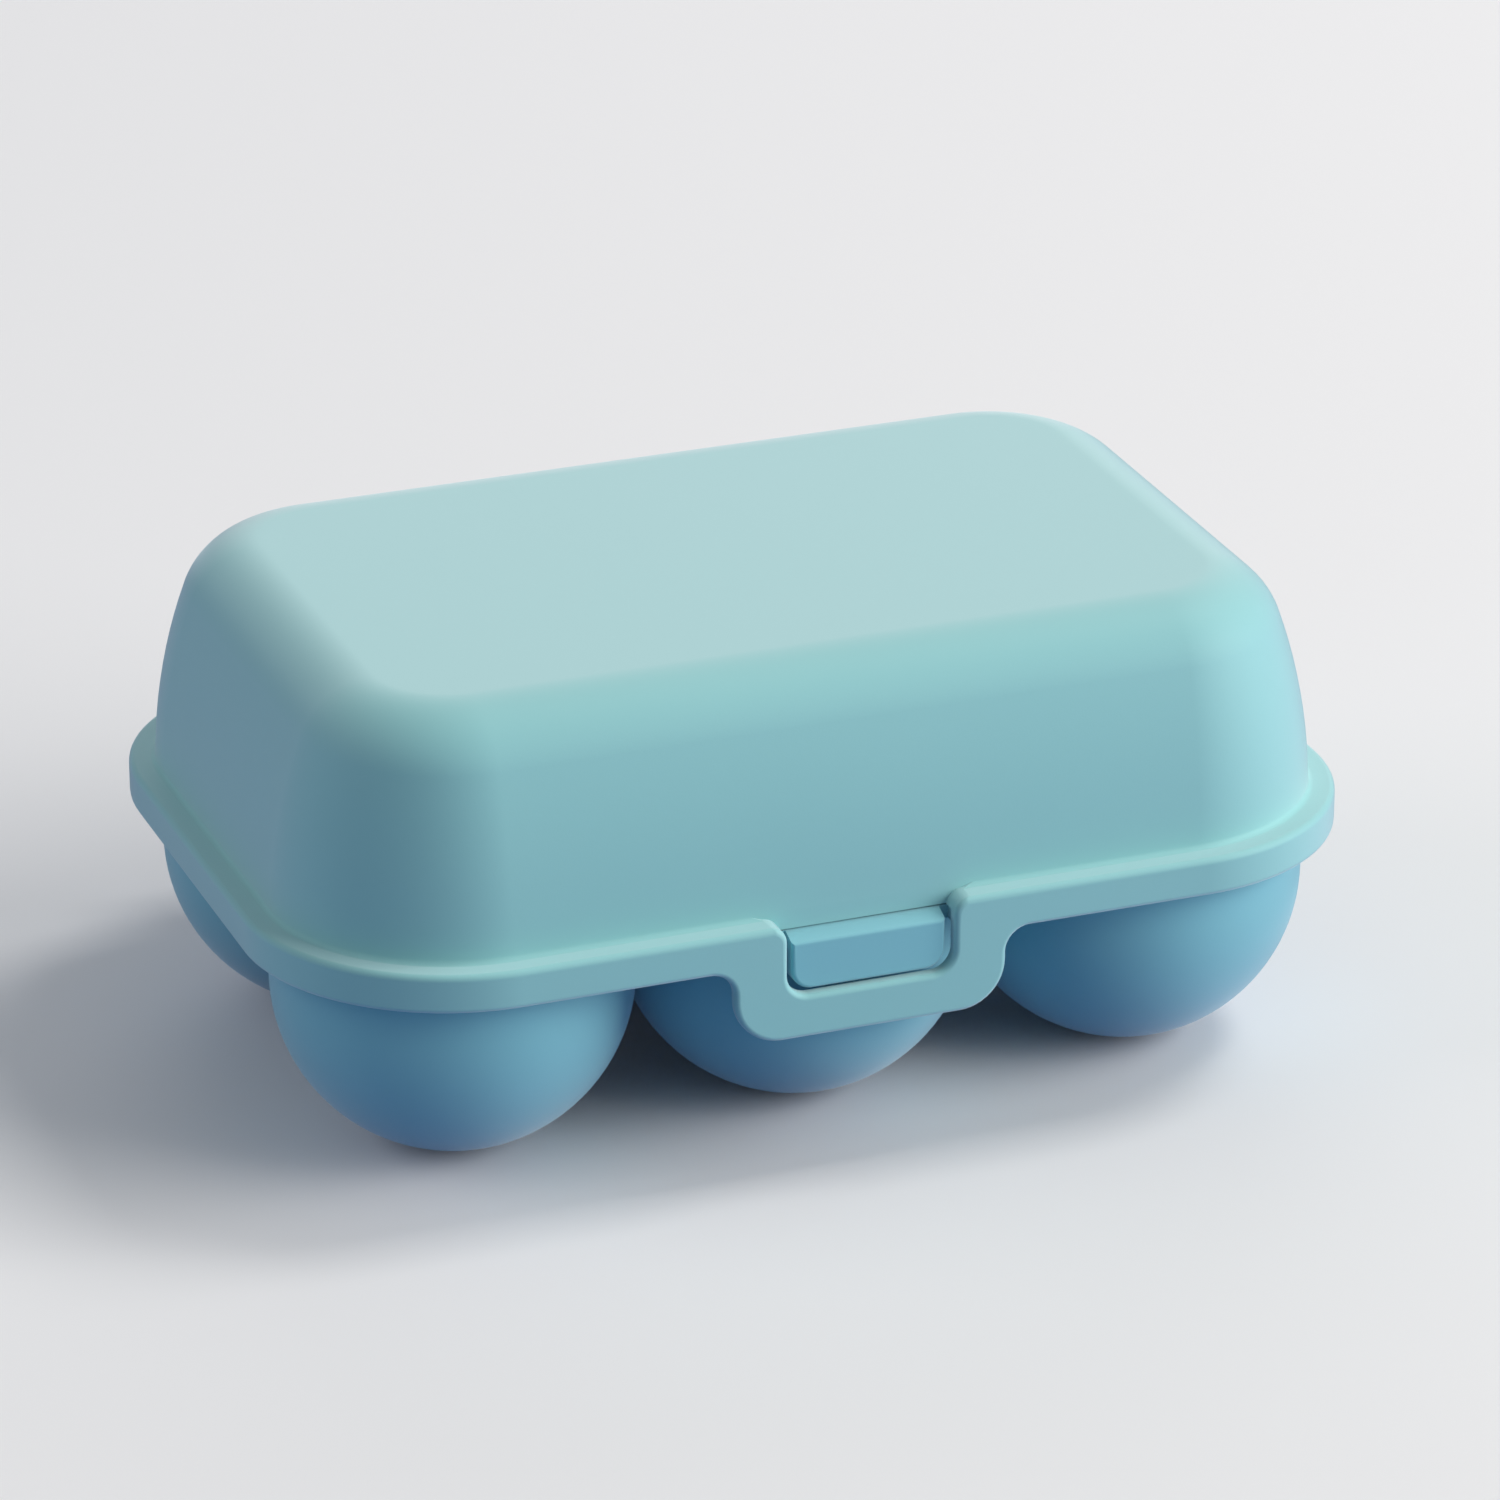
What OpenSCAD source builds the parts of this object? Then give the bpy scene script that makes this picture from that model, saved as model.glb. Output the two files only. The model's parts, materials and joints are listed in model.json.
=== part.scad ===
// Six-cup egg carrier with a domed lid that swings up on a rear snap-in hinge
// Millimetres, +Z up, seen from the front along +Y, standing on the flats of its cups

/* [Cups] */
// Cups along the long side
cup_columns = 3; // [3:1:5]
// Cups across the short side
cup_rows = 2; // [2:1:3]
// Distance between cup centres along the long side
cup_pitch = 50; // [48:0.5:54]
// How much closer the two rows stand than the columns
row_tuck = 0.5; // [0:0.1:1]
// How far each cup's outside reaches past halfway to its neighbour
cup_merge = 0.2; // [0.1:0.05:0.4]
// Wall thickness of a cup
cup_wall = 1.8; // [1.4:0.1:2.2]
// Depth of the flat that each cup stands on
cup_flat = 0.4; // [0.2:0.1:0.8]
// Rounding of each cup's mouth
mouth_round = 1.2; // [0.6:0.1:1.4]

/* [Base rim] */
// Height of the deck that joins the cups
deck_top = 35.1; // [34:0.1:38]
// Thickness of the deck
deck_thick = 2; // [1.6:0.1:2.4]
// Extra space behind the deck, where the lid's skirt swings in as it opens
rear_space = 1.1; // [1.1:0.1:1.4]

/* [Lid] */
// Height of the closed carrier
overall_h = 70; // [66:0.5:76]
// Wall thickness of the dome
lid_wall = 1.8; // [1.4:0.1:2.2]
// Radius of the side wall's gentle curve, seen from the end
side_curve = 79; // [70:1:90]
// Lean of the side wall where it leaves the flange, in degrees
side_lean = 1.8; // [1:0.2:3]
// Radius of the shoulder between the side wall and the flat top
shoulder = 11.4; // [9:0.2:13]
// How far the flange's edge stands out past the cups
rim_reach = 4.5; // [4.2:0.1:5]
// Width of the flange from its edge in to the dome
flange_wide = 3.8; // [3.6:0.1:4.2]
// Thickness of the flange
flange_thick = 2; // [1.6:0.1:2.4]
// Height of the skirt that hangs from the flange's edge, with the flange
skirt_h = 5.6; // [4.8:0.2:6]
// Thickness of the skirt
skirt_wall = 1.8; // [1.6:0.1:2]
// Rounding of the flange's upper edge
rim_round = 0.9; // [0.5:0.1:1.2]
// Rounding of the skirt's foot and of the front edges of the apron and its window
edge_round = 0.8; // [0.4:0.1:1]

/* [Latch] */
// Half the width of the apron
apron_half = 19.8; // [18.5:0.1:21]
// How far the apron hangs below the skirt
apron_drop = 11.3; // [10.5:0.1:12.5]
// Half the width of the apron's window
window_half = 12.2; // [11.6:0.1:12.8]
// Rounding of the flange's top where the notch over the window cuts through it
notch_round = 2.4; // [1.6:0.1:3]
// Height of the bar that closes the window's foot
bar_h = 6.3; // [5.5:0.1:7]
// Space between the button and each side of the window
button_side_gap = 1; // [0.6:0.1:1.3]
// Space between the button and the bar below it
button_foot_gap = 0.4; // [0.3:0.1:0.6]
// How much of the bar's thickness catches under the button
catch = 0.7; // [0.5:0.1:1]
// Wall thickness of the hollow button
button_wall = 1.6; // [1.4:0.1:1.8]
// How far the button's top slopes down to its front
button_slope = 1; // [0.6:0.1:1.2]
// Rounding of the button's front edges
button_round = 0.6; // [0.3:0.1:0.8]

/* [Hinge] */
// Distance from the middle to each of the two hinges
hinge_x = 40; // [36:1:44]
// Width of the lid's tongue at each hinge
tongue_wide = 12; // [9:1:14]
// Thickness of each ear on the tray
ear_thick = 3; // [2.6:0.2:3.4]
// Radius of the knuckles
knuckle_r = 3; // [2.8:0.1:3.2]
// Radius of the moulded pins
pin_r = 1.3; // [1.2:0.1:1.5]
// Distance of the hinge line behind the flange's edge
hinge_reach = 3.5; // [3.4:0.1:3.8]
// How far each ear's gusset reaches in under the deck from the hinge line
gusset_reach = 16; // [13:0.5:18]
// Length of the gusset's level foot
gusset_foot = 6.5; // [4:0.5:8]
// How far the gusset goes down from the hinge line
gusset_deep = 7; // [5:0.5:9]
// How far the tongue goes down from the hinge line
tongue_deep = 1.6; // [1.2:0.1:2]

/* [Clearances] */
// Between a moulded pin and its bore, on the radius
pin_gap = 0.08; // [0.04:0.01:0.1]
// Between the closed lid's flange and the deck
seat_gap = 0.2; // [0.2:0.05:0.4]
// Between the deck's edge and the skirt
skirt_gap = 0.4; // [0.4:0.05:0.6]
// Between each ear and the lid beside it
ear_gap = 0.3; // [0.25:0.05:0.5]
// Between the lid's notch and the pocket in the deck's edge behind it
pocket_gap = 0.4; // [0.2:0.1:0.8]

/* [Hidden] */
$fn = 96;

// Rectangle of the corner cups' centres, which every rounded outline follows
column_x = cup_pitch * (cup_columns - 1) / 2;
row_pitch = cup_pitch - row_tuck;
row_y = row_pitch * (cup_rows - 1) / 2;

// Cups
cup_r = cup_pitch / 2 + cup_merge;
cup_in_r = cup_r - cup_wall;
cup_centre_z = cup_r - cup_flat;

// Outlines, as distances from that rectangle
rim_r = cup_r + rim_reach;
skirt_in_r = rim_r - skirt_wall;
deck_r = skirt_in_r - skirt_gap;
dome_r = rim_r - flange_wide;

// Heights
flange_under = deck_top + seat_gap;
flange_top = flange_under + flange_thick;
skirt_foot = flange_top - skirt_h;
apron_foot = skirt_foot - apron_drop;
window_foot = apron_foot + bar_h;
button_foot = window_foot + button_foot_gap;

// Dome: the side wall's arc and the shoulder's arc meet where both have one tangent
root_round = 0.8;
dome_foot = flange_top + root_round;
side_at = [
    dome_r - side_curve * cos(side_lean),
    dome_foot - side_curve * sin(side_lean)
];
meet_angle = asin((overall_h - shoulder - side_at.y) / (side_curve - shoulder));
shoulder_at = side_at + (side_curve - shoulder) * [cos(meet_angle), sin(meet_angle)];

// Apron and window outlines
apron_corner = 6.8;
apron_fillet = 3.5;
window_corner = 3.2;
notch_skin = 0.02;
past = 1;

// U outlines as [half width, foot, corner, fillet at the top of the sides, level of that top]
apron_u = [apron_half, apron_foot, apron_corner, apron_fillet, skirt_foot];
window_u = [window_half, window_foot, window_corner, notch_round, flange_top];

// Button
front_y = -row_y - rim_r;
button_y = front_y + skirt_wall - catch;
button_half = window_half - button_side_gap;
button_corner = 3;
button_u = [button_half, button_foot, button_corner, 0, deck_top];
button_lean = atan(button_slope / (front_y + flange_wide - button_y));

// Hinge
hinge_y = row_y + rim_r + hinge_reach;
hinge_z = deck_top + seat_gap / 2;
hinge_half = tongue_wide / 2 + ear_gap + ear_thick;
pin_tip_gap = 0.4;
slot_side = 0.5;
tongue_rise = 0.4;

// The carrier is centred front to back with its hinge
shift_y = -(hinge_reach + knuckle_r) / 2;

// Points of an arc about c, from angle a to angle b in n steps
function arc(c, r, a, b, n) =
    [for (i = [0:n]) c + r * [cos(a + (b - a) * i / n), sin(a + (b - a) * i / n)]];

// Centres of a U outline's corner and of the fillet at the top of its side
function corner_at(u) = [u[0] - u[2], u[1] + u[2]];
function fillet_at(u) = [u[0] + u[3], u[4] - u[3]];

// Cut section of the lid from its middle outwards, as [distance out, height]
lid_section = [
    [0, overall_h],
    each arc(shoulder_at, shoulder, 90, meet_angle, 12),
    each arc(side_at, side_curve, meet_angle, side_lean, 6),
    each arc([dome_r + root_round, dome_foot], root_round, 180, 270, 3),
    each arc([rim_r - rim_round, flange_top - rim_round], rim_round, 90, 0, 4),
    each arc([rim_r - edge_round, skirt_foot + edge_round], edge_round, 0, -90, 4),
    [skirt_in_r, skirt_foot],
    [skirt_in_r, flange_under],
    [dome_r - lid_wall, flange_under],
    each arc(side_at, side_curve - lid_wall, side_lean, meet_angle, 6),
    each arc(shoulder_at, shoulder - lid_wall, meet_angle, 90, 12),
    [0, overall_h - lid_wall]
];

deck_section = [
    [0, deck_top - deck_thick],
    [deck_r, deck_top - deck_thick],
    [deck_r, deck_top],
    [0, deck_top]
];

// Carries a section round the rectangle of the corner cups
module around(section, rear_in = 0) {
    span_y = 2 * row_y - rear_in;
    for (side = [0, 1]) mirror([side, 0, 0]) {
        translate([column_x, row_y - rear_in, 0])
            rotate_extrude(angle = 90) polygon(section);
        translate([column_x, -row_y, 0])
            rotate([0, 0, -90]) rotate_extrude(angle = 90) polygon(section);
        translate([column_x, -rear_in / 2, 0])
            rotate([90, 0, 0]) linear_extrude(span_y, center = true) polygon(section);
    }
    translate([0, row_y - rear_in, 0]) rotate([0, 0, 90]) side_run(section);
    translate([0, -row_y, 0]) rotate([0, 0, -90]) side_run(section);
}

module side_run(section) {
    rotate([90, 0, 0]) linear_extrude(2 * column_x, center = true) polygon(section);
}

// Level plate over the rectangle of the corner cups
module middle_plate(low, high, rear_in = 0) {
    translate([-column_x, -row_y, low])
        cube([2 * column_x, 2 * row_y - rear_in, high - low]);
}

module at_each_cup() {
    for (i = [0:cup_columns - 1], j = [0:cup_rows - 1])
        translate([i * cup_pitch - column_x, j * row_pitch - row_y, 0]) children();
}

// Drawing plane that faces the front at y: x to the right, y up and z towards the viewer
module facing(y) {
    translate([0, y, 0]) rotate([90, 0, 0]) children();
}

// Flat shape of a U outline, filled up to the height top
module u_shape(u, top) {
    c = corner_at(u);
    f = fillet_at(u);
    for (side = [0, 1]) mirror([side, 0]) {
        translate(c) circle(u[2]);
        difference() {
            polygon([[0, u[1]], [c.x, u[1]], c, [u[0], c.y], [u[0], f.y], f, [f.x, top], [0, top]]);
            if (u[3] > 0) translate(f) circle(u[3]);
        }
    }
}

// Carries a profile, drawn as [distance out, height], along a U outline
module along(u) {
    c = corner_at(u);
    for (side = [0, 1]) mirror([side, 0, 0]) {
        translate([0, u[1], 0]) rotate([0, 0, -90]) run(c.x) children();
        translate(c) rotate([0, 0, -90]) rotate_extrude(angle = 90) translate([u[2], 0]) children();
        translate([u[0], c.y, 0]) run(fillet_at(u).y - c.y) children();
        if (u[3] > 0) translate(fillet_at(u)) rotate([0, 0, 90])
            rotate_extrude(angle = 90) translate([u[3], 0]) mirror([1, 0]) children();
    }
}

// Straight piece of a carried profile, along +Y
module run(length) {
    translate([0, length, 0]) rotate([90, 0, 0]) linear_extrude(length) children();
}

// What a rounded edge leaves over of a sharp one that points to +X and +Y
module edge_waste(r) {
    polygon([[-r, past], each arc([-r, -r], r, 90, 0, 4), [past, -r], [past, past]]);
}

// Profile in the plane of Y and Z, drawn as [y, height] and extruded to both sides of the middle
module across(width) {
    rotate([90, 0, 90]) linear_extrude(width, center = true) children();
}

// Round-bottomed bowl, solid up to the height top
module bowl(r, top) {
    rotate_extrude() {
        intersection() {
            translate([0, cup_centre_z]) circle(r);
            square([r + past, cup_centre_z]);
        }
        translate([0, cup_centre_z]) square([r, top - cup_centre_z]);
    }
}

// Room inside one cup, with its rounded mouth
module cup_room() {
    bowl(cup_in_r, deck_top + past);
    rotate_extrude() polygon([
        [0, deck_top - mouth_round],
        each arc([cup_in_r + mouth_round, deck_top - mouth_round], mouth_round, 180, 90, 4),
        [cup_in_r + mouth_round, deck_top + past],
        [0, deck_top + past]
    ]);
}

// Hollow button that the lid's window drops over
module button() {
    back = -row_y - cup_r / 2;
    difference() {
        facing(back) linear_extrude(back - button_y) u_shape(button_u, deck_top);
        facing(button_y) along(button_u) edge_waste(button_round);
        across(2 * (button_half - button_wall)) polygon([
            [button_y + button_wall, button_foot - past],
            [back + past, button_foot - past],
            [back + past, deck_top - deck_thick],
            [button_y + button_wall, deck_top - deck_thick]
        ]);
    }
}

// What is cut off the deck's and the button's top, so that they slope as one down to a rounded edge
module button_slope_waste() {
    slope_back = front_y + flange_wide;
    round_z = deck_top - button_slope + button_round * (tan(button_lean) - 1 / cos(button_lean));
    across(2 * button_half) polygon([
        [slope_back, deck_top + past],
        [slope_back, deck_top],
        each arc([button_y + button_round, round_z], button_round, 90 + button_lean, 180, 4),
        [button_y - past, round_z],
        [button_y - past, deck_top + past]
    ]);
}

// Round bar along X, centred on the hinge line
module on_hinge(r, length) {
    translate([0, hinge_y, hinge_z]) rotate([0, 90, 0]) cylinder(r = r, h = length, center = true);
}

// Profile beside the hinge line, drawn as [back, up] from it and centred on X
module beside_hinge(width, points) {
    translate([0, hinge_y, hinge_z]) across(width) polygon(points);
}

// One ear of the tray, centred on X, with a gusset under the deck
module ear() {
    gusset_top = deck_top - seat_gap - hinge_z;
    difference() {
        union() {
            on_hinge(knuckle_r, ear_thick);
            beside_hinge(ear_thick, [
                [-knuckle_r * 2 / 3, gusset_top],
                [-gusset_reach, gusset_top],
                [-gusset_reach, -gusset_deep],
                [gusset_foot - gusset_reach, -gusset_deep],
                [knuckle_r * 2 / 5, -knuckle_r * 5 / 6]
            ]);
        }
        on_hinge(pin_r + pin_gap, ear_thick + past);
    }
}

// Lid's half of one hinge: a tongue with a knuckle and a moulded pin at each end
module tongue() {
    on_hinge(knuckle_r, tongue_wide);
    on_hinge(pin_r, 2 * (hinge_half - pin_tip_gap));
    beside_hinge(tongue_wide, [
        [-hinge_reach - skirt_wall, flange_thick - seat_gap],
        [0, knuckle_r * 5 / 6],
        [0, -tongue_deep],
        [-hinge_reach - skirt_wall, tongue_rise - tongue_deep]
    ]);
}

// Pocket at each side of the button, so that the deck's edge doesn't show in the lid's notch
module notch_pockets() {
    for (side = [0, 1]) mirror([side, 0, 0])
        translate([button_half, front_y, deck_top - deck_thick - past])
            cube([button_side_gap + pocket_gap, flange_wide, deck_thick + 2 * past]);
}

module at_each_hinge() {
    for (side = [0, 1]) mirror([side, 0, 0]) translate([hinge_x, 0, 0]) children();
}

module base_tray() {
    color([0.55, 0.76, 0.78]) translate([0, shift_y, 0]) difference() {
        union() {
            around(deck_section, rear_space);
            middle_plate(deck_top - deck_thick, deck_top, rear_space);
            at_each_cup() bowl(cup_r, deck_top - deck_thick / 2);
            button();
            at_each_hinge()
                for (side = [-1, 1])
                    translate([side * (hinge_half - ear_thick / 2), 0, 0]) ear();
        }
        at_each_cup() cup_room();
        button_slope_waste();
        notch_pockets();
    }
}

module lid() {
    station = 2 * (hinge_half + slot_side);
    color([0.60, 0.80, 0.80]) translate([0, shift_y, 0]) {
        difference() {
            union() {
                around(lid_section);
                middle_plate(overall_h - lid_wall, overall_h);
                apron();
            }
            window();
            at_each_hinge()
                translate([-station / 2, row_y + skirt_in_r - slot_side, skirt_foot - past])
                    cube([station, skirt_wall + 2 * past, flange_under - skirt_foot + past]);
        }
        at_each_hinge() tongue();
    }
}

// Apron that hangs from the skirt in front, with rounded edges
module apron() {
    difference() {
        facing(front_y + skirt_wall) linear_extrude(skirt_wall)
            u_shape(apron_u, skirt_foot + 2 * edge_round);
        facing(front_y) along(apron_u) edge_waste(edge_round);
    }
}

// Room of the window and of the notch that opens it at the top, wider at their rounded front edges
module window() {
    facing(front_y + flange_wide - notch_skin) linear_extrude(flange_wide - notch_skin + past)
        u_shape(window_u, dome_foot);
    facing(front_y) along(window_u) mirror([1, 0]) edge_waste(edge_round);
}

base_tray();
lid();
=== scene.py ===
# %% [markdown]
# A closed egg carrier stands on its six round cups. The real one is two mouldings in one pale
# aqua plastic: a tray of cups and a domed lid. Both are modelled here again as clean surfaces
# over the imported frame, so that the light runs smoothly over them, and both keep its sizes.

# %% Load the frame
import json
import math

import bmesh
import bpy
from mathutils import Matrix, Vector


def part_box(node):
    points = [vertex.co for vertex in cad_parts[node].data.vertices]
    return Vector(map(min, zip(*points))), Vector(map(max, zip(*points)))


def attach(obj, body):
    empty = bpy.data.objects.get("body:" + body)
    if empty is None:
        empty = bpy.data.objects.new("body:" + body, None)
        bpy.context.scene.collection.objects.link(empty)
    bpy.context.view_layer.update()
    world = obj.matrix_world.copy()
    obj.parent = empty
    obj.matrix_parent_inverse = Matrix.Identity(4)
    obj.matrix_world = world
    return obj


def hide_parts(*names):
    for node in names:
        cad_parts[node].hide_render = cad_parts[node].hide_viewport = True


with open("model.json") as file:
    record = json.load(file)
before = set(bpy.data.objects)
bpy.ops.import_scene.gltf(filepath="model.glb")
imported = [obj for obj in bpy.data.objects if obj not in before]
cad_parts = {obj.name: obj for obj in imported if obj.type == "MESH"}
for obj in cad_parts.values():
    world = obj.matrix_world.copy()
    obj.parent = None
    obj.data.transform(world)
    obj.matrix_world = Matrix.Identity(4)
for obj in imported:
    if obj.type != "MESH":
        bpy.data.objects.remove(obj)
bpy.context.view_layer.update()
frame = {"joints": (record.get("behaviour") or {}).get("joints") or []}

# %% [markdown]
# Everything rounded on this carrier follows one rectangle, the one through the centres of the
# four corner cups: the deck, the skirt, the flange and the dome are all a certain distance out
# from it. So that rectangle and a few driving sizes give every other size. The outermost faces
# stay a hair inside the frame's box, and a cutter runs a little past what it cuts.

# %% Driving sizes
mm = 0.001
hair = 0.002 * mm
past = 1 * mm
cup_pitch = 50 * mm
row_pitch = 49.5 * mm
column_x = cup_pitch
row_y = row_pitch / 2

lid_low, lid_high = (Vector(corner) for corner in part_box("lid"))
hinge = next(joint for joint in frame["joints"] if joint["name"] == "lid_hinge")
hinge_y, hinge_z = hinge["pos_m"][1], hinge["pos_m"][2]
rim_r = lid_high.x - column_x - hair
front_y = lid_low.y + hair
middle_y = front_y + rim_r + row_y

overall_h = lid_high.z
flange_thick = 2 * mm
seat_gap = 0.2 * mm
deck_top = hinge_z - seat_gap / 2
flange_under = deck_top + seat_gap
flange_top = flange_under + flange_thick
print(f"rim {rim_r / mm:.1f} mm past the cup centres, flange top at {flange_top / mm:.1f} mm")

# %% [markdown]
# The camera comes first. It stands about a metre off, low on the left, with a long lens: the real
# lens was long too, since the carrier's far edges hardly shrink. The three angles were fitted to
# the outline.

# %% Camera
camera_at = (-339.1 * mm, middle_y - 890.5 * mm, 455.4 * mm)
camera_turn = -21.024
camera_dip = 23.589

camera_data = bpy.data.cameras.new("camera")
camera_data.sensor_width = 36
camera_data.lens = 176.55
camera = bpy.data.objects.new("camera", camera_data)
camera.matrix_world = (
    Matrix.Translation(camera_at)
    @ Matrix.Rotation(math.radians(camera_turn), 4, "Z")
    @ Matrix.Rotation(math.radians(90 - camera_dip), 4, "X")
)
bpy.context.scene.collection.objects.link(camera)
bpy.context.scene.camera = camera
print(f"camera {Vector(camera_at).length:.2f} m away, {camera_dip} degrees down")

# %% [markdown]
# Most of the carrier is one cut section carried round the cup rectangle. A lathe can turn the
# corners, and a straight push can make the sides between them. The helper below does just that:
# it spins the section a quarter turn round each corner cup and extrudes it along each side. A
# section with a gap in the middle leaves a flat hole, which one face fills.

# %% Carry a section round the cup rectangle
CORNER_STEPS = 24


def edges_in(geometry):
    return [item for item in geometry if isinstance(item, bmesh.types.BMEdge)]


def verts_in(geometry):
    return [item for item in geometry if isinstance(item, bmesh.types.BMVert)]


def close_up(bm):
    """Fills what is open and turns every face outwards."""
    bmesh.ops.holes_fill(bm, edges=[e for e in bm.edges if e.is_boundary], sides=0)
    bmesh.ops.recalc_face_normals(bm, faces=bm.faces)


def carry_round(bm, section, rear_in=0.0):
    """Sweeps points (distance out, height) round the four corner cups, starting in front."""
    back = row_y - rear_in
    verts = [bm.verts.new((column_x, middle_y - row_y - out, up)) for out, up in section]
    edges = [bm.edges.new(pair) for pair in zip(verts, verts[1:])]
    walk = [
        ((column_x, -row_y), (0, back + row_y)),
        ((column_x, back), (-2 * column_x, 0)),
        ((-column_x, back), (0, -back - row_y)),
        ((-column_x, -row_y), (2 * column_x, 0)),
    ]
    for (corner_x, corner_y), push in walk:
        turned = bmesh.ops.spin(
            bm,
            geom=verts + edges,
            cent=(corner_x, middle_y + corner_y, 0),
            axis=(0, 0, 1),
            angle=math.pi / 2,
            steps=CORNER_STEPS,
        )
        pushed = bmesh.ops.extrude_edge_only(bm, edges=edges_in(turned["geom_last"]))["geom"]
        verts = verts_in(pushed)
        bmesh.ops.translate(bm, verts=verts, vec=(*push, 0))
        moved = set(verts)
        edges = [e for e in edges_in(pushed) if moved.issuperset(e.verts)]
    bmesh.ops.remove_doubles(bm, verts=bm.verts, dist=1e-6)
    close_up(bm)


def arc(centre, radius, start, end, steps):
    """Points of an arc in a section, from one angle in degrees to another."""
    angles = [math.radians(start + (end - start) * i / steps) for i in range(steps + 1)]
    return [(centre[0] + radius * math.cos(a), centre[1] + radius * math.sin(a)) for a in angles]


# %% [markdown]
# A bmesh is only a workbench. These helpers turn it into an object, and join or cut one closed
# shape with another. An exact Boolean suits these mouldings, because their flat faces meet in
# one plane again and again, and a quicker solver would leave slivers there.

# %% From workbench to object


def make_object(bm, name):
    mesh = bpy.data.meshes.new(name)
    bm.to_mesh(mesh)
    bm.free()
    piece = bpy.data.objects.new(name, mesh)
    bpy.context.scene.collection.objects.link(piece)
    return piece


def combine(piece, tool, operation):
    """Joins the tool to the piece or cuts it away, and removes the tool."""
    modifier = piece.modifiers.new(operation, "BOOLEAN")
    modifier.operation = operation
    modifier.solver = "EXACT"
    modifier.object = tool
    bpy.context.view_layer.update()
    graph = bpy.context.evaluated_depsgraph_get()
    shaped = bpy.data.meshes.new_from_object(piece.evaluated_get(graph))
    piece.modifiers.clear()
    spare = piece.data
    piece.data = shaped
    bpy.data.meshes.remove(spare)
    bpy.data.objects.remove(tool)


def block(name, low, high):
    """A box between two corners."""
    bm = bmesh.new()
    size = Vector(high) - Vector(low)
    centre = (Vector(high) + Vector(low)) / 2
    place = Matrix.Translation(centre) @ Matrix.Diagonal((*size, 1))
    bmesh.ops.create_cube(bm, size=1, matrix=place)
    return make_object(bm, name)


# %% [markdown]
# The dome's wall leans in by less than two degrees at the flange, curves in a long arc and turns
# over a tighter shoulder into a flat top. The two arcs share a tangent where they meet, and one
# arcsine gives that place. A subdivided box would be softer all over, and its flat top would
# bulge, so the section is drawn and carried round instead. The flange's edge and the skirt's
# foot get their soft edges in the same section.

# %% Lid shell
lid_wall = 1.8 * mm
side_curve = 79 * mm
side_lean = 1.8
shoulder = 11.4 * mm
flange_wide = 3.8 * mm
root_round = 0.8 * mm
rim_round = 0.9 * mm
edge_round = 0.8 * mm
inner_round = 0.3 * mm
skirt_wall = 1.8 * mm
skirt_foot = flange_top - 5.6 * mm
skirt_in_r = rim_r - skirt_wall
dome_r = rim_r - flange_wide
dome_foot = flange_top + root_round
ROUND_STEPS = 5

side_at = (
    dome_r - side_curve * math.cos(math.radians(side_lean)),
    dome_foot - side_curve * math.sin(math.radians(side_lean)),
)
meet = math.degrees(math.asin((overall_h - shoulder - side_at[1]) / (side_curve - shoulder)))
shoulder_at = (
    side_at[0] + (side_curve - shoulder) * math.cos(math.radians(meet)),
    side_at[1] + (side_curve - shoulder) * math.sin(math.radians(meet)),
)
foot_out = (rim_r - edge_round, skirt_foot + edge_round)
foot_in = (skirt_in_r + inner_round, skirt_foot + inner_round)
lid_section = (
    arc(shoulder_at, shoulder, 90, meet, 16)
    + arc(side_at, side_curve, meet, side_lean, 10)[1:]
    + arc((dome_r + root_round, dome_foot), root_round, 180, 270, ROUND_STEPS)[1:]
    + arc((rim_r - rim_round, flange_top - rim_round), rim_round, 90, 0, ROUND_STEPS)
    + arc(foot_out, edge_round, 0, -90, ROUND_STEPS)
    + arc(foot_in, inner_round, -90, -180, ROUND_STEPS)
    + [(skirt_in_r, flange_under), (dome_r - lid_wall, flange_under)]
    + arc(side_at, side_curve - lid_wall, side_lean, meet, 10)
    + arc(shoulder_at, shoulder - lid_wall, meet, 90, 12)[1:]
)

workbench = bmesh.new()
carry_round(workbench, lid_section)
lid = make_object(workbench, "moulded_lid")
print(f"{len(lid_section)} section points, wall and shoulder meet at {meet:.1f} degrees")
print("lid shell", len(lid.data.polygons), "faces")

# %% [markdown]
# The latch is three U shapes on one theme: the apron that hangs from the skirt, the window in
# it, and the button behind the window. Each has round lower corners, and the first two end in a
# fillet at the top of their sides. One function draws such a U, and also draws it a little
# larger or smaller, so that a stack of outlines makes the rounded front edge. Above its fillet
# the outline splays out, so that the window's cut fades into the round at the dome's root.
# Bridging the stack gives the solid. A bevel after the Boolean would trip over the short edges
# that it leaves.

# %% U outlines and their loft
apron_foot = skirt_foot - 11.3 * mm
window_foot = apron_foot + 6.3 * mm
window_half = 12.2 * mm
notch_round = 2.4 * mm
apron_u = (19.8 * mm, apron_foot, 6.8 * mm, 3.5 * mm, skirt_foot)
window_u = (window_half, window_foot, 3.2 * mm, notch_round, flange_top)


def u_outline(u, grow, top):
    """Points (x, z) of a U moved out by grow, all the way round from the middle of its foot."""
    half, foot, corner, fillet, level = u
    right = [(0, foot - grow)] + arc((half - corner, foot + corner), corner + grow, -90, 0, 12)
    if fillet:
        right += arc((half + fillet, level - fillet), fillet - grow, 180, 90, 8)
        right += [(half + fillet + 3 * (top - level), top)]
    else:
        right += [(half + grow, top)]
    return right + [(-x, z) for x, z in reversed(right[1:])]


def soft_edge(radius):
    """Steps (depth, inset) of a rounded edge, from the flat face back to the full outline."""
    return [(radius - z, radius - x) for x, z in arc((0, 0), radius, 90, 0, ROUND_STEPS)]


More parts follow.
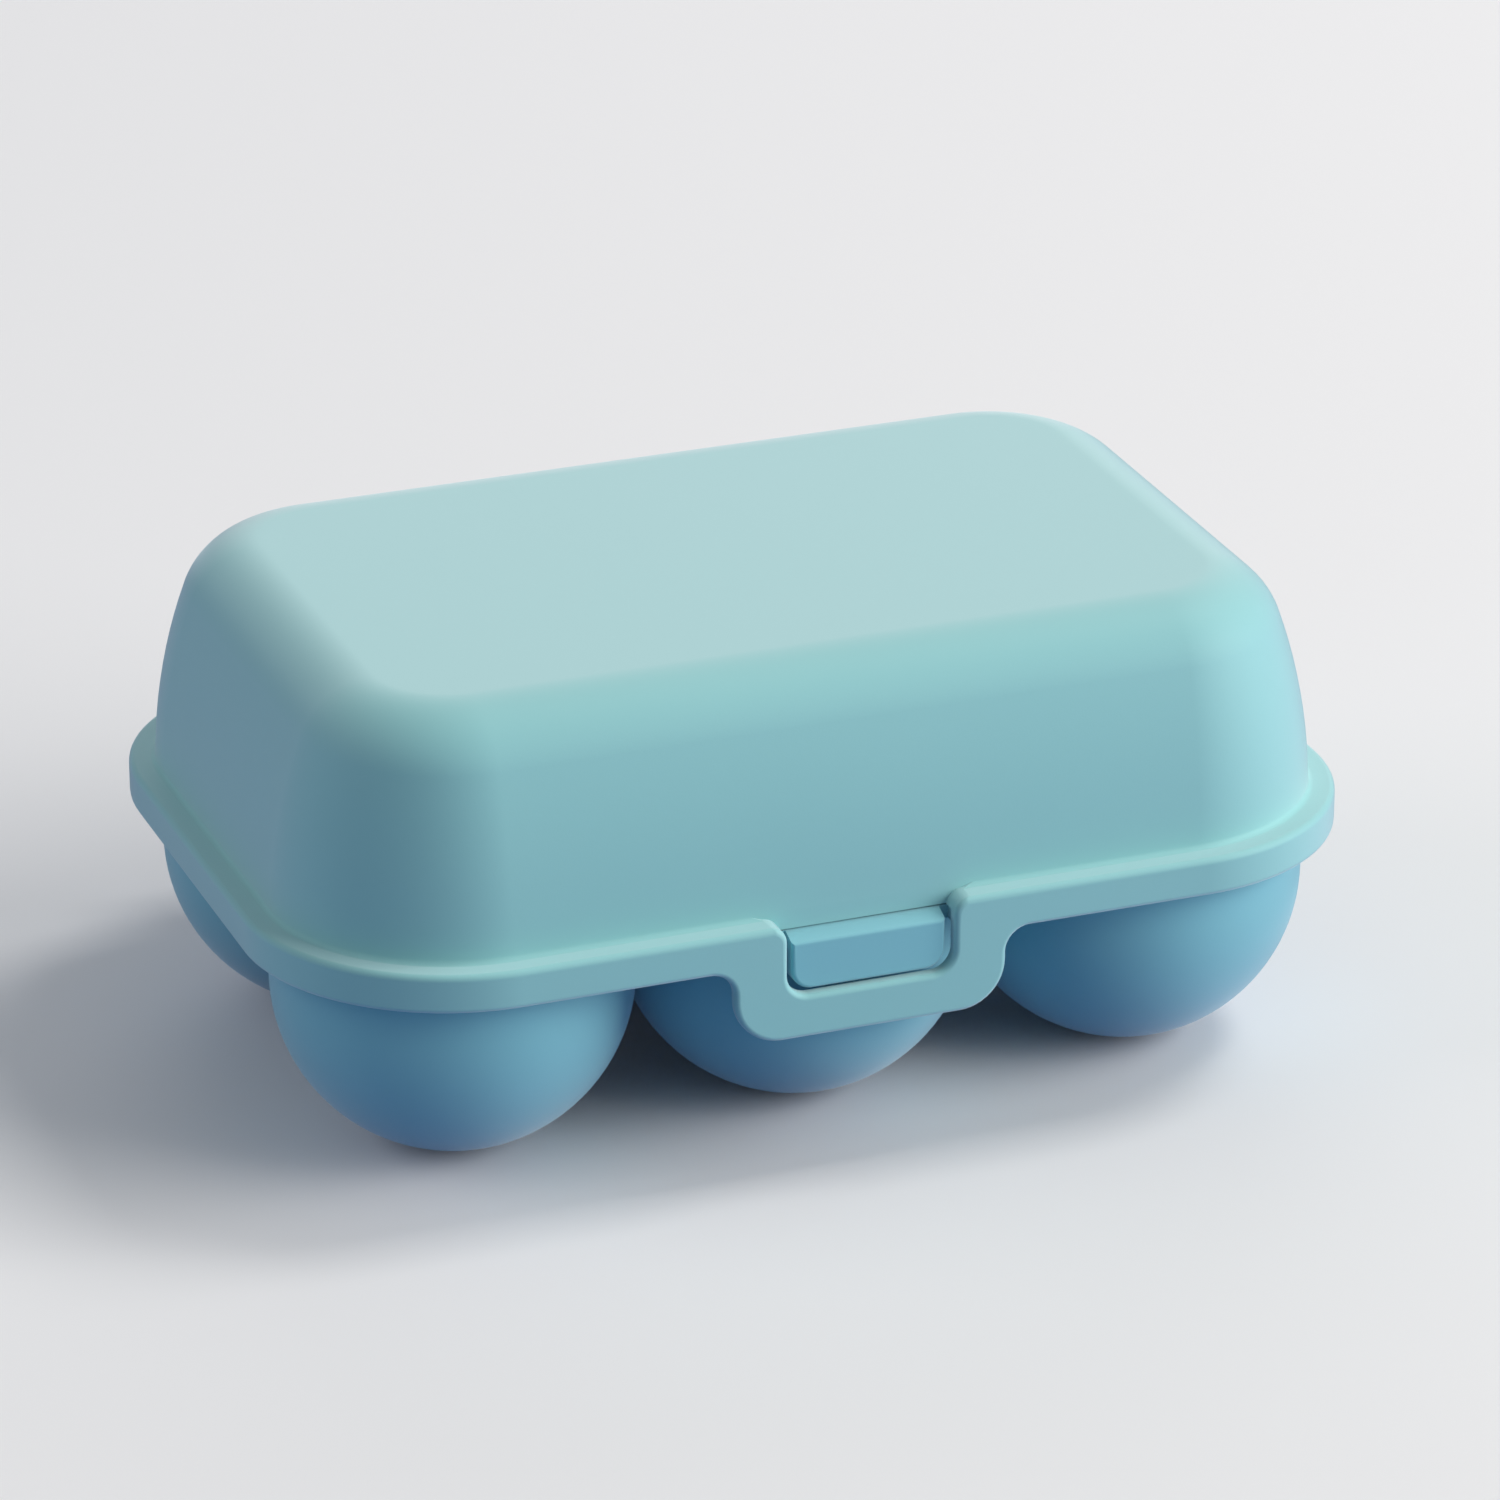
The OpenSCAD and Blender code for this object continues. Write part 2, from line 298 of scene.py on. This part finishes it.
def loft(name, layers):
    """Bridges outlines, each given as (y, points), into one closed solid."""
    bm = bmesh.new()
    loops = []
    for y, points in layers:
        ring = [bm.verts.new((x, y, z)) for x, z in points]
        loops.append([bm.edges.new(pair) for pair in zip(ring, ring[1:] + ring[:1])])
    for near, far in zip(loops, loops[1:]):
        bmesh.ops.bridge_loops(bm, edges=near + far)
    close_up(bm)
    return make_object(bm, name)


print(f"apron {2 * apron_u[0] / mm:.1f} mm wide, window {2 * window_half / mm:.1f} mm")

# %% [markdown]
# The apron is a skirt wall that hangs lower, as thick as the skirt and flush with it on both
# faces, so the join doesn't show. Its outlines are inset towards the front face and again
# towards the back, which rounds both edges.

# %% Apron
apron_top = skirt_foot + 2 * edge_round
apron_layers = [
    (front_y + d, u_outline(apron_u, -inset, apron_top)) for d, inset in soft_edge(edge_round)
]
apron_layers += [
    (front_y + skirt_wall - d, u_outline(apron_u, -inset, apron_top))
    for d, inset in reversed(soft_edge(inner_round))
]
combine(lid, loft("apron", apron_layers), "UNION")
print("lid with apron", len(lid.data.polygons), "faces")

# %% [markdown]
# The window starts in the apron and runs up through the flange as a notch, right to the foot of
# the dome. Its cutter is the same kind of loft, grown instead of shrunk at the front, so that
# what it leaves has a soft edge.

# %% Window
notch_back = front_y + flange_wide - 0.02 * mm
window_layers = [(front_y - past, u_outline(window_u, edge_round, dome_foot))]
window_layers += [
    (front_y + d, u_outline(window_u, out, dome_foot)) for d, out in soft_edge(edge_round)
]
window_layers += [(notch_back, u_outline(window_u, 0, dome_foot))]
combine(lid, loft("window", window_layers), "DIFFERENCE")
print("lid with window", len(lid.data.polygons), "faces")

# %% [markdown]
# Two helpers serve the hinges. What is round about the hinge line is turned as on a lathe: half
# a section, spun once round. What is flat is a plate: one face, pushed out along X, with
# bevelled sides where a hand could touch them.

# %% Turned pieces and side plates
knuckle_r = lid_high.y - hinge_y - hair


def turn(bm, section, steps, place):
    """Turns points (radius, height) once round the Z axis, and then places the solid."""
    before = set(bm.verts)
    verts = [bm.verts.new((radius, 0, up)) for radius, up in section]
    edges = [bm.edges.new(pair) for pair in zip(verts, verts[1:])]
    bmesh.ops.spin(
        bm,
        geom=verts + edges,
        cent=(0, 0, 0),
        axis=(0, 0, 1),
        angle=math.tau,
        steps=steps,
        use_merge=True,
    )
    bmesh.ops.remove_doubles(bm, verts=[v for v in bm.verts if v not in before], dist=1e-6)
    bmesh.ops.transform(bm, matrix=place, verts=[v for v in bm.verts if v not in before])
    bmesh.ops.recalc_face_normals(bm, faces=bm.faces)


def on_hinge(x):
    """Lays a turned piece along the hinge line, centred at x."""
    return Matrix.Translation((x, hinge_y, hinge_z)) @ Matrix.Rotation(math.pi / 2, 4, "Y")


def from_hinge(points):
    """Points (back, up) from the hinge line as (y, z)."""
    return [(hinge_y + back * mm, hinge_z + up * mm) for back, up in points]


def side_plate(name, outline, x, width, soft=0.0):
    """A plate across X with the outline (y, z), with soft edges where a radius is given."""
    bm = bmesh.new()
    face = bm.faces.new([bm.verts.new((x - width / 2, y, z)) for y, z in outline])
    pushed = bmesh.ops.extrude_face_region(bm, geom=[face])["geom"]
    bmesh.ops.translate(bm, verts=verts_in(pushed), vec=(width, 0, 0))
    bmesh.ops.recalc_face_normals(bm, faces=bm.faces)
    if soft:
        bmesh.ops.bevel(
            bm,
            geom=[e for e in bm.edges if abs(e.verts[0].co.x - e.verts[1].co.x) < 1e-6],
            offset=soft,
            offset_type="OFFSET",
            affect="EDGES",
            segments=2,
            profile=0.5,
            material=-1,
            clamp_overlap=True,
        )
    return make_object(bm, name)


print(f"knuckle radius {knuckle_r / mm:.2f} mm")

# %% [markdown]
# Behind, the skirt is left out where each hinge passes through it. Each hinge is a tongue on
# the lid that ends in a round knuckle with a moulded pin at either side. The knuckle and its
# pins are one stepped bar, so they are turned together, and a web joins them to the skirt.

# %% Hinge tongues
hinge_x = 40 * mm
tongue_wide = 12 * mm
ear_thick = 3 * mm
ear_gap = 0.3 * mm
pin_r = 1.3 * mm
pin_tip_gap = 0.4 * mm
pin_chamfer = 0.2 * mm
slot_gap = 0.5 * mm
hinge_half = tongue_wide / 2 + ear_gap + ear_thick
slot_half = hinge_half + slot_gap
slot_y = middle_y + row_y + skirt_in_r - slot_gap

bar_end = [
    (0, -hinge_half + pin_tip_gap),
    (pin_r - pin_chamfer, -hinge_half + pin_tip_gap),
    (pin_r, -hinge_half + pin_tip_gap + pin_chamfer),
    (pin_r, -tongue_wide / 2),
    (knuckle_r - inner_round, -tongue_wide / 2),
    (knuckle_r, -tongue_wide / 2 + inner_round),
]
bar_section = bar_end + [(radius, -up) for radius, up in reversed(bar_end)]
web_reach = 5.3
web = from_hinge([(-web_reach, 1.8), (0, 2.5), (0, -1.6), (-web_reach, -1.2)])
for side in (-1, 1):
    x = side * hinge_x
    slot_low = (x - slot_half, slot_y, skirt_foot - past)
    slot_high = (x + slot_half, slot_y + skirt_wall + 2 * past, flange_under)
    combine(lid, block("slot", slot_low, slot_high), "DIFFERENCE")
    combine(lid, side_plate("web", web, x, tongue_wide, inner_round), "UNION")
    workbench = bmesh.new()
    turn(workbench, bar_section, 40, on_hinge(x))
    combine(lid, make_object(workbench, "bar"), "UNION")
print("lid with tongues", len(lid.data.polygons), "faces")

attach(lid, "cover")
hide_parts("lid")

# %% [markdown]
# A cup is a round bowl: half a ball with a short straight wall above it, cut flat underneath so
# that the carrier stands still. It is turned from its section, like a bowl on a lathe. The room
# inside is a second turned solid that is cut away later, with a flared top that leaves the mouth
# of the cup rounded.

# %% Cups
cup_r = cup_pitch / 2 + 0.2 * mm
cup_wall = 1.8 * mm
cup_in_r = cup_r - cup_wall
cup_centre_z = cup_r - 0.4 * mm
mouth_round = 1.2 * mm
deck_thick = 2 * mm
deck_under = deck_top - deck_thick
CUP_STEPS = 96


def bowl_section(radius, top):
    """Half a bowl's section from its foot up, solid to the middle."""
    foot = max(0.0, cup_centre_z - radius)
    start = math.degrees(math.asin((foot - cup_centre_z) / radius))
    return [(0, foot)] + arc((0, cup_centre_z), radius, start, 0, 24) + [(radius, top)]


cup_outside = bowl_section(cup_r, deck_top - deck_thick / 2) + [(0, deck_top - deck_thick / 2)]
mouth_at = (cup_in_r + mouth_round, deck_top - mouth_round)
cup_room = bowl_section(cup_in_r, mouth_at[1]) + arc(mouth_at, mouth_round, 180, 90, 5)[1:]
cup_room += [(mouth_at[0], deck_top + past), (0, deck_top + past)]


def cups(section, name, wanted):
    """Turned solids at the cup places that the test picks, as one object."""
    bm = bmesh.new()
    for column in range(3):
        for row in range(2):
            if wanted(column + row):
                at = ((column - 1) * cup_pitch, middle_y + (row - 0.5) * row_pitch, 0)
                turn(bm, section, CUP_STEPS, Matrix.Translation(at))
    return make_object(bm, name)


print(f"cup {2 * cup_r / mm:.1f} mm outside, {2 * cup_in_r / mm:.1f} mm inside")

# %% [markdown]
# The deck is a plate that joins the cups. Behind, it stays a little further in, because the
# lid's skirt swings in there when the lid opens. Neighbouring cups overlap slightly, so they are
# joined in two lots, like the squares of a chessboard, and no solid in a lot touches another.

# %% Deck and cups
deck_r = skirt_in_r - 0.4 * mm
rear_in = 1.1 * mm
deck_edge = deck_r - inner_round

workbench = bmesh.new()
deck_section = arc((deck_edge, deck_top - inner_round), inner_round, 90, 0, 3)
deck_section += arc((deck_edge, deck_under + inner_round), inner_round, 0, -90, 3)
carry_round(workbench, deck_section, rear_in)
tray = make_object(workbench, "moulded_tray")
combine(tray, cups(cup_outside, "even_cups", lambda place: place % 2 == 0), "UNION")
combine(tray, cups(cup_outside, "odd_cups", lambda place: place % 2 == 1), "UNION")
print("deck with cups", len(tray.data.polygons), "faces")

# %% [markdown]
# The button is a hollow lug on the deck's front edge. Its outline is the third U. Its top slopes
# gently to the front, so that the bar of the apron rides over it as the lid shuts. One cutter
# with a rounded corner in its profile planes that slope and softens its front edge. At either
# side the deck's edge has a pocket, so that only a dark gap shows beside the button.

# %% Button
button_wall = 1.6 * mm
button_round = 0.6 * mm
button_slope = 1 * mm
button_gap = 1 * mm
button_foot_gap = 0.4 * mm
button_catch = 0.7 * mm
button_half = window_half - button_gap
button_foot = window_foot + button_foot_gap
button_y = front_y + skirt_wall - button_catch
button_back = middle_y - row_y - cup_r / 2
slope_back = front_y + flange_wide
button_u = (button_half, button_foot, 3 * mm, 0, deck_top)

button_layers = [
    (button_y + d, u_outline(button_u, -inset, deck_top)) for d, inset in soft_edge(button_round)
]
button_layers += [(button_back, u_outline(button_u, 0, deck_top))]
button = loft("button", button_layers)
hollow_low = (-button_half + button_wall, button_y + button_wall, button_foot - past)
hollow_high = (button_half - button_wall, button_back + past, deck_under)
combine(button, block("hollow", hollow_low, hollow_high), "DIFFERENCE")
combine(tray, button, "UNION")

lean = math.atan(button_slope / (slope_back - button_y))
round_z = deck_top - button_slope + button_round * (math.tan(lean) - 1 / math.cos(lean))
slope_waste = [(slope_back, deck_top + past), (slope_back, deck_top)]
slope_waste += arc(
    (button_y + button_round, round_z), button_round, 90 + math.degrees(lean), 180, ROUND_STEPS
)
slope_waste += [(button_y - past, round_z), (button_y - past, deck_top + past)]
combine(tray, side_plate("slope", slope_waste, 0, 2 * button_half), "DIFFERENCE")

pocket_gap = 0.4 * mm
pocket_out = window_half + pocket_gap
for near, far in ((-pocket_out, -button_half), (button_half, pocket_out)):
    pocket_low = (near, front_y, deck_under - past)
    pocket_high = (far, slope_back, deck_top + past)
    combine(tray, block("pocket", pocket_low, pocket_high), "DIFFERENCE")
print("tray with button", len(tray.data.polygons), "faces")

# %% [markdown]
# Each hinge has two ears on the tray, one at either side of the tongue. An ear is a flat plate
# whose outline runs round the knuckle to a gusset under the deck, with a bore for the pin. The
# rooms of the cups are cut last, so that they also clear what reached into them.

# %% Hinge ears
pin_gap = 0.08 * mm
knuckle_end = 185.7
gusset_reach = 16
gusset_deep = 7
gusset_foot = 6.5
knuckle = arc((hinge_y, hinge_z), knuckle_r, -90, knuckle_end, 40)
gusset = [
    (-gusset_reach, -0.3),
    (-gusset_reach, -gusset_deep),
    (gusset_foot - gusset_reach, -gusset_deep),
]
ear_outline = knuckle + from_hinge(gusset)
bore_r = pin_r + pin_gap
bore = [(0, -ear_thick), (bore_r, -ear_thick), (bore_r, ear_thick), (0, ear_thick)]
for side in (-1, 1):
    for end in (-1, 1):
        x = side * hinge_x + end * (hinge_half - ear_thick / 2)
        ear = side_plate("ear", ear_outline, x, ear_thick, inner_round)
        workbench = bmesh.new()
        turn(workbench, bore, 40, on_hinge(x))
        combine(ear, make_object(workbench, "bore"), "DIFFERENCE")
        combine(tray, ear, "UNION")
combine(tray, cups(cup_room, "cup_rooms", lambda place: True), "DIFFERENCE")
print("whole tray", len(tray.data.polygons), "faces")

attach(tray, "tray")
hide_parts("base_tray")

# %% [markdown]
# Shader maths reads best as maths. One small class wraps a socket, so that adding, subtracting
# or multiplying adds the Math node that does it, and one method makes every other node.

# %% Shader expressions


class Signal:
    """A value that varies over the surface, for use in expressions."""

    def __init__(self, finish, socket):
        self.finish = finish
        self.socket = socket

    def _math(self, operation, first, second):
        return self.finish.node("ShaderNodeMath", {"operation": operation}, {0: first, 1: second})

    def __add__(self, other):
        return self._math("ADD", self, other)

    def __sub__(self, other):
        return self._math("SUBTRACT", self, other)

    def __mul__(self, other):
        return self._math("MULTIPLY", self, other)

    __radd__ = __add__
    __rmul__ = __mul__

    def __rsub__(self, other):
        return self._math("SUBTRACT", other, self)

    def beside(self, output):
        """Another output of the same node."""
        return Signal(self.finish, self.socket.node.outputs[output])


class Finish:
    """A material, with one method that makes its nodes."""

    def __init__(self, name):
        self.material = bpy.data.materials.new(name)
        self.material.use_nodes = True
        self.tree = self.material.node_tree
        self.tree.nodes.clear()

    def node(self, kind, settings=None, sockets=None, output=0):
        made = self.tree.nodes.new(kind)
        for key, value in (settings or {}).items():
            setattr(made, key, value)
        for key, value in (sockets or {}).items():
            if isinstance(value, Signal):
                self.tree.links.new(value.socket, made.inputs[key])
            else:
                made.inputs[key].default_value = value
        return Signal(self, made.outputs[output]) if len(made.outputs) else None

    def surface(self, shader):
        self.node("ShaderNodeOutputMaterial", None, {"Surface": shader})


# %% [markdown]
# The plastic is a satin polypropylene. What makes it look moulded, and not painted, is small:
# a fine even grain from the spark-eroded mould, a faint cloudiness in how it shines where the
# melt cooled unevenly, and a colour that is a touch deeper in some places than in others.
# Its shine has no edge: surfaces seen at a slant turn paler, and the long side,
# seen face on, keeps its full colour. A gloss alone would put a hard bright line along the
# shoulder, so the gloss is low and rough, and a faintly tinted sheen gives the paleness. Lid and
# tray are one plastic. The tray's finish is that plastic painted a touch darker and bluer, as
# painted shade and painted blue bounce light on the cups under the lid. A noise's
# scale is how often it repeats in a metre, so the clouds are about 35 mm across.

# %% Moulded plastic
MIX_A, MIX_B, MIX_RESULT = 6, 7, 2


def moulded_plastic(name, pale, deep, rough, sheen):
    """Satin plastic whose colour drifts between two close tints."""
    finish = Finish(name)
    where = finish.node("ShaderNodeTexCoord", output="Object")

    def noise(per_metre, detail):
        sockets = {"Vector": where, "Scale": per_metre, "Detail": detail}
        return finish.node("ShaderNodeTexNoise", None, sockets)

    cloud = noise(28, 2)
    speckle = noise(900, 2)
    grain = noise(3600, 1)
    tints = {"Factor": 0.8 * cloud + 0.2 * speckle, MIX_A: (*deep, 1), MIX_B: (*pale, 1)}
    colour = finish.node("ShaderNodeMix", {"data_type": "RGBA"}, tints, output=MIX_RESULT)
    relief = {"Strength": 0.18, "Distance": 0.04 * mm, "Height": 0.7 * grain + 0.3 * speckle}
    bump = finish.node("ShaderNodeBump", None, relief)
    shine = {
        "Base Color": colour,
        "Roughness": rough + 0.1 * (cloud - 0.5),
        "IOR": 1.49,
        "Specular IOR Level": 0.3,
        "Sheen Weight": sheen,
        "Sheen Roughness": 0.5,
        "Sheen Tint": (0.93, 0.97, 1, 1),
        "Normal": bump,
    }
    finish.surface(finish.node("ShaderNodeBsdfPrincipled", None, shine))
    print(name, len(finish.tree.nodes), "nodes")
    return finish.material


lid_pale, lid_deep = (0.275, 0.59, 0.597), (0.258, 0.568, 0.58)
# The tray's tints are painted shade: the lid's plastic made darker and bluer, with painted blue
# bounce light, for the cups in the lid's shade.
tray_shaded_pale, tray_shaded_deep = (0.22, 0.54, 0.61), (0.205, 0.52, 0.595)
lid_finish = moulded_plastic("satin_aqua_lid", lid_pale, lid_deep, rough=0.55, sheen=0.85)
tray_shaded_finish = moulded_plastic("satin_aqua_tray", tray_shaded_pale, tray_shaded_deep, rough=0.55, sheen=0.5)

# %% [markdown]
# The mesh is smooth all over, except across edges that are truly sharp. A Weighted Normal
# modifier lets the large flat faces keep their own direction, so that no gradient creeps over
# them from the rounded edges.

# %% Dress the mouldings
for piece, finish in ((lid, lid_finish), (tray, tray_shaded_finish)):
    piece.data.materials.clear()
    piece.data.materials.append(finish)
    piece.data.shade_smooth()
    piece.data.set_sharp_from_angle(angle=math.radians(32))
    weighted = piece.modifiers.new("even_shading", "WEIGHTED_NORMAL")
    weighted.keep_sharp = True
    weighted.weight = 60
    print(piece.name, len(piece.data.polygons), "faces")

# %% [markdown]
# The set is a plain pale floor that is large enough to fill the view. The camera and the gloss
# on the plastic see it pale. For the soft light that it throws up under the cups it counts as
# a darker, cooler paper, as under the real carrier, because a pale floor would fill every
# shadow there. The Light Path node tells the two kinds of ray apart.

# %% Floor
workbench = bmesh.new()
bmesh.ops.create_grid(workbench, x_segments=1, y_segments=1, size=6)
floor = make_object(workbench, "floor")
floor_finish = Finish("pale_floor")
unseen_paper = (0.10, 0.20, 0.46)
seen_paper = (0.86, 0.86, 0.87)


def floor_paint(colour):
    paint = {"Base Color": (*colour, 1), "Roughness": 0.9}
    return floor_finish.node("ShaderNodeBsdfPrincipled", None, paint)


ray = floor_finish.node("ShaderNodeLightPath", output="Is Camera Ray")
seen = ray + ray.beside("Is Glossy Ray") + ray.beside("Is Transmission Ray")
papers = {"Fac": seen, 1: floor_paint(unseen_paper), 2: floor_paint(seen_paper)}
floor_finish.surface(floor_finish.node("ShaderNodeMixShader", None, papers))
floor.data.materials.append(floor_finish.material)
print("floor paper", seen_paper)

# %% [markdown]
# Four soft lamps light it. The key stands high on the right, as the shadow in the photo tells:
# it falls to the left, hardly longer than the carrier is high. A larger lamp in front on the
# right fills the long side, and leaves the left end in shade. A weak one behind lays a sheen on
# the lid's flat top, and a weak one at the left keeps the shaded end from going flat.

# %% Lamps


def soft_lamp(name, at, size, power, colour):
    """A square area lamp that looks at the carrier's middle."""
    data = bpy.data.lights.new(name, "AREA")
    data.shape = "SQUARE"
    data.size = size
    data.energy = power
    data.color = colour
    lamp = bpy.data.objects.new(name, data)
    look = (Vector((0, 0, 0.03)) - Vector(at)).to_track_quat("-Z", "Y").to_matrix().to_4x4()
    lamp.matrix_world = Matrix.Translation(at) @ look
    bpy.context.scene.collection.objects.link(lamp)
    print(f"lamp {name}: {power} W, {Vector(at).length:.2f} m away")


soft_lamp("key", (1.16, 0.08, 1.87), 0.64, 14.5, (1, 0.98, 0.95))
soft_lamp("front_right", (1.9, -1.2, 0.9), 1.8, 60, (1, 0.97, 0.93))
soft_lamp("back", (0.45, 1.2, 0.6), 0.9, 2.5, (1, 0.98, 1))
soft_lamp("left", (-1.1, 0.3, 0.6), 0.9, 3.5, (0.93, 0.95, 1))

world = bpy.data.worlds.new("studio")
bpy.context.scene.world = world
world.use_nodes = True
background = world.node_tree.nodes["Background"].inputs
background["Color"].default_value = (0.88, 0.93, 1, 1)
background["Strength"].default_value = 0.25

# %% [markdown]
# The Standard view shows a colour as it was mixed, without a film's curve over it.

bpy.context.scene.view_settings.view_transform = "Standard"
